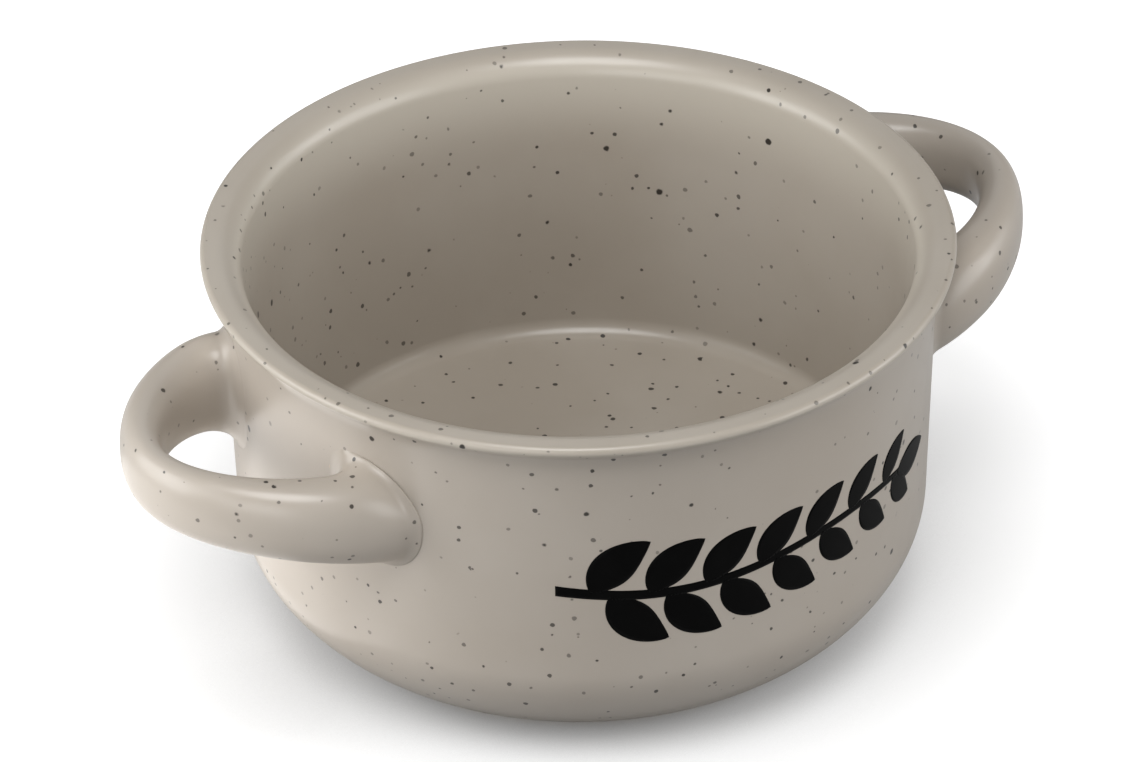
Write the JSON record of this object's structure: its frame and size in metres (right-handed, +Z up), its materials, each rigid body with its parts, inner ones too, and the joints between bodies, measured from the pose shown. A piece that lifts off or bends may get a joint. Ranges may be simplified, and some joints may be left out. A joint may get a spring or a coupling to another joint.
{
  "type": "soup mug",
  "caption": "Wide low stoneware soup mug with a flat-topped lip, an upright wall rounding into a foot ring, and a loop handle on each side to lift and drink from.",
  "frame": {"origin": "middle of the foot ring, on the surface that the mug stands on", "axes": "+Z up through the mouth, X along the line through both handles, -Y toward the decorated front"},
  "size_m": [0.1774, 0.13, 0.07],
  "materials": {
    "bare_clay": "matt fired stoneware",
    "slip": "matt fired slip under glaze",
    "outside_glaze": "satin speckled glaze",
    "inside_glaze": "satin speckled glaze"
  },
  "bodies": {
    "root": {"bowl_body": "bare_clay", "inside_glaze": "inside_glaze", "outside_glaze": "outside_glaze", "base_glaze": "outside_glaze", "left_handle": "bare_clay", "right_handle": "bare_clay", "left_handle_glaze": "outside_glaze", "right_handle_glaze": "outside_glaze", "left_front_slip": "slip", "left_rear_slip": "slip", "right_front_slip": "slip", "right_rear_slip": "slip"}
  },
  "joints": []
}
